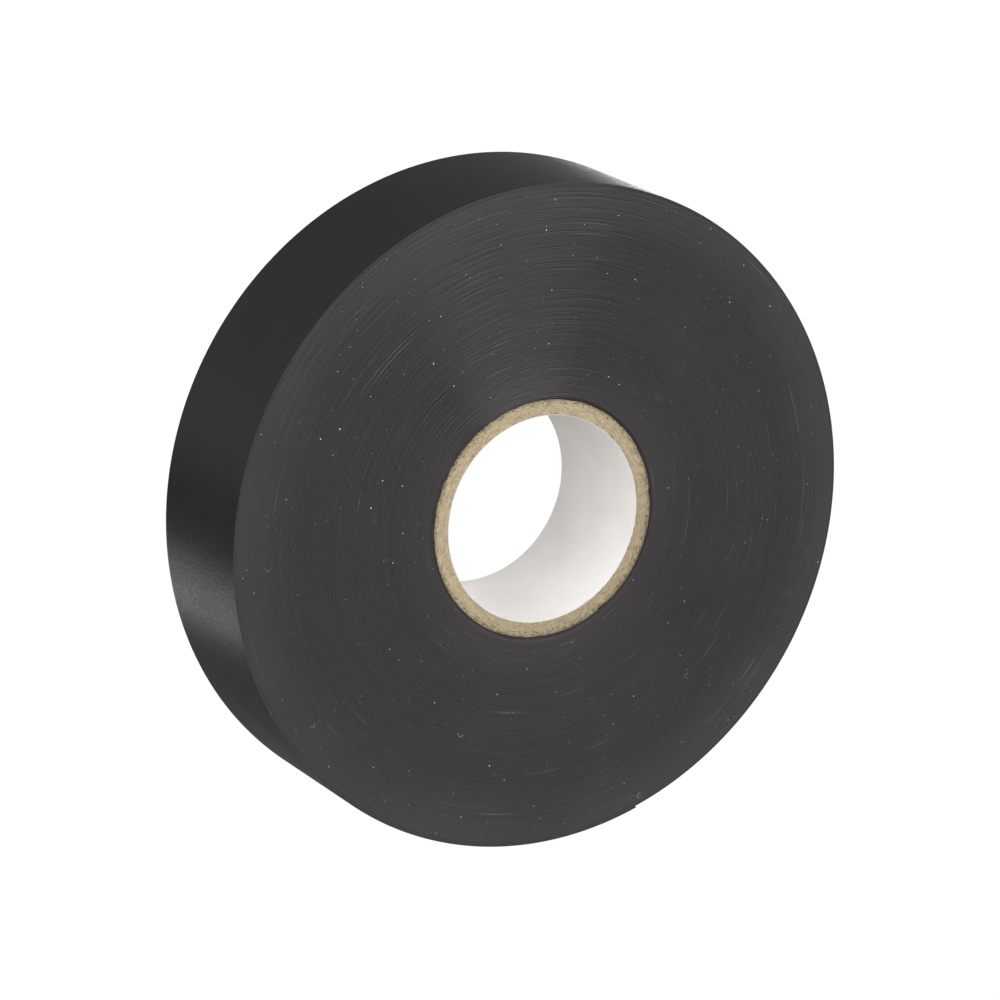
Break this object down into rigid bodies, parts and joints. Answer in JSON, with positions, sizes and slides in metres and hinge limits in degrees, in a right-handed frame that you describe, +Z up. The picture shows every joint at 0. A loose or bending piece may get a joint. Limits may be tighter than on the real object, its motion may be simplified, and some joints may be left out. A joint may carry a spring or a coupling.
{
  "type": "electrical tape roll",
  "caption": "Roll of black vinyl electrical tape wound on a laminated paperboard core, with a free end that lifts and peels back off the roll.",
  "frame": {"origin": "centre of the core bore, midway between the two side faces", "axes": "+Y along the bore axis towards the rear face, so the front side face looks along -Y; +Z up; the tape winds outwards anticlockwise seen from the front"},
  "size_m": [0.0841, 0.019, 0.0843],
  "materials": {
    "tape_film": "satin black plasticised PVC film",
    "tape_adhesive": "tacky black rubber-resin adhesive",
    "core_board": "matt tan chipboard with dark fibres",
    "core_paper": "smooth off-white paper"
  },
  "bodies": {
    "roll": {"core_liner": "core_paper", "core_ply_1": "core_board", "core_ply_2": "core_board", "core_ply_3": "core_board", "core_ply_4": "core_board", "wound_turns": "tape_film", "outer_turn_backing": "tape_film", "outer_turn_adhesive": "tape_adhesive"},
    "strip_1": {"strip_1_backing": "tape_film", "strip_1_adhesive": "tape_adhesive"},
    "strip_2": {"strip_2_backing": "tape_film", "strip_2_adhesive": "tape_adhesive"},
    "strip_3": {"strip_3_backing": "tape_film", "strip_3_adhesive": "tape_adhesive"},
    "strip_4": {"strip_4_backing": "tape_film", "strip_4_adhesive": "tape_adhesive"},
    "strip_5": {"strip_5_backing": "tape_film", "strip_5_adhesive": "tape_adhesive"},
    "strip_6": {"strip_6_backing": "tape_film", "strip_6_adhesive": "tape_adhesive"},
    "strip_7": {"strip_7_backing": "tape_film", "strip_7_adhesive": "tape_adhesive"},
    "strip_8": {"strip_8_backing": "tape_film", "strip_8_adhesive": "tape_adhesive"},
    "tab_1": {"tab_1_backing": "tape_film", "tab_1_adhesive": "tape_adhesive"},
    "tab_2": {"tab_2_backing": "tape_film", "tab_2_adhesive": "tape_adhesive"},
    "tab_3": {"tab_3_backing": "tape_film", "tab_3_adhesive": "tape_adhesive"},
    "tab_4": {"tab_4_backing": "tape_film", "tab_4_adhesive": "tape_adhesive"}
  },
  "joints": [
    {"name": "strip_peel", "type": "hinge", "parent": "roll", "child": "strip_1", "pos_m": [-0.03916, 0, -0.01555], "axis": [0, 1, 0], "range_deg": [0, 20]},
    {"name": "strip_bend_2", "type": "hinge", "parent": "strip_1", "child": "strip_2", "pos_m": [-0.03667, 0, -0.02078], "axis": [0, 1, 0], "range_deg": [0, 20]},
    {"name": "strip_bend_3", "type": "hinge", "parent": "strip_2", "child": "strip_3", "pos_m": [-0.03348, 0, -0.02562], "axis": [0, 1, 0], "range_deg": [0, 20]},
    {"name": "strip_bend_4", "type": "hinge", "parent": "strip_3", "child": "strip_4", "pos_m": [-0.02965, 0, -0.02997], "axis": [0, 1, 0], "range_deg": [0, 20]},
    {"name": "strip_bend_5", "type": "hinge", "parent": "strip_4", "child": "strip_5", "pos_m": [-0.02527, 0, -0.03376], "axis": [0, 1, 0], "range_deg": [0, 20]},
    {"name": "strip_bend_6", "type": "hinge", "parent": "strip_5", "child": "strip_6", "pos_m": [-0.0204, 0, -0.03691], "axis": [0, 1, 0], "range_deg": [0, 20]},
    {"name": "strip_bend_7", "type": "hinge", "parent": "strip_6", "child": "strip_7", "pos_m": [-0.01515, 0, -0.03937], "axis": [0, 1, 0], "range_deg": [0, 20]},
    {"name": "strip_bend_8", "type": "hinge", "parent": "strip_7", "child": "strip_8", "pos_m": [-0.00962, 0, -0.04108], "axis": [0, 1, 0], "range_deg": [0, 20]},
    {"name": "tab_lift", "type": "hinge", "parent": "strip_8", "child": "tab_1", "pos_m": [-0.0039, 0, -0.04201], "axis": [0, 1, 0], "range_deg": [0, 25]},
    {"name": "tab_bend_2", "type": "hinge", "parent": "tab_1", "child": "tab_2", "pos_m": [0.0005, 0, -0.04219], "axis": [0, 1, 0], "range_deg": [0, 25]},
    {"name": "tab_bend_3", "type": "hinge", "parent": "tab_2", "child": "tab_3", "pos_m": [0.00489, 0, -0.04191], "axis": [0, 1, 0], "range_deg": [0, 25]},
    {"name": "tab_bend_4", "type": "hinge", "parent": "tab_3", "child": "tab_4", "pos_m": [0.00922, 0, -0.04118], "axis": [0, 1, 0], "range_deg": [0, 25]}
  ],
  "couplings": [
    {"joint": "strip_bend_2", "follows": "strip_peel", "ratio": 1},
    {"joint": "strip_bend_3", "follows": "strip_peel", "ratio": 1},
    {"joint": "strip_bend_4", "follows": "strip_peel", "ratio": 1},
    {"joint": "strip_bend_5", "follows": "strip_peel", "ratio": 1},
    {"joint": "strip_bend_6", "follows": "strip_peel", "ratio": 1},
    {"joint": "strip_bend_7", "follows": "strip_peel", "ratio": 1},
    {"joint": "strip_bend_8", "follows": "strip_peel", "ratio": 1},
    {"joint": "tab_bend_2", "follows": "tab_lift", "ratio": 1},
    {"joint": "tab_bend_3", "follows": "tab_lift", "ratio": 1},
    {"joint": "tab_bend_4", "follows": "tab_lift", "ratio": 1}
  ]
}
